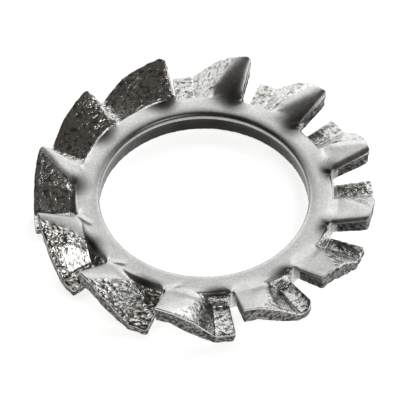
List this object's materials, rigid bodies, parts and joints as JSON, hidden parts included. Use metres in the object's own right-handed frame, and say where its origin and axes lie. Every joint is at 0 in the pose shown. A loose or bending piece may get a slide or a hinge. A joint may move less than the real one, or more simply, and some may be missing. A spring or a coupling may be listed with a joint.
{
  "type": "toothed lock washer",
  "caption": "Flat spring-steel ring with a ring of twisted outer teeth that bite under a screw head or nut and stop it working loose.",
  "frame": {"origin": "on the bore axis, in the plane that the lowered tooth flaps stand on", "axes": "+Z along the bore axis, towards the side that the teeth are raised on; +X through the middle of a tooth"},
  "size_m": [0.0106, 0.0106, 0.0015],
  "materials": {
    "spring_steel": "plain unplated steel, tumbled smooth on the ring, coarse where the teeth were sheared and coined"
  },
  "bodies": {
    "root": {"washer": "spring_steel"}
  },
  "joints": []
}
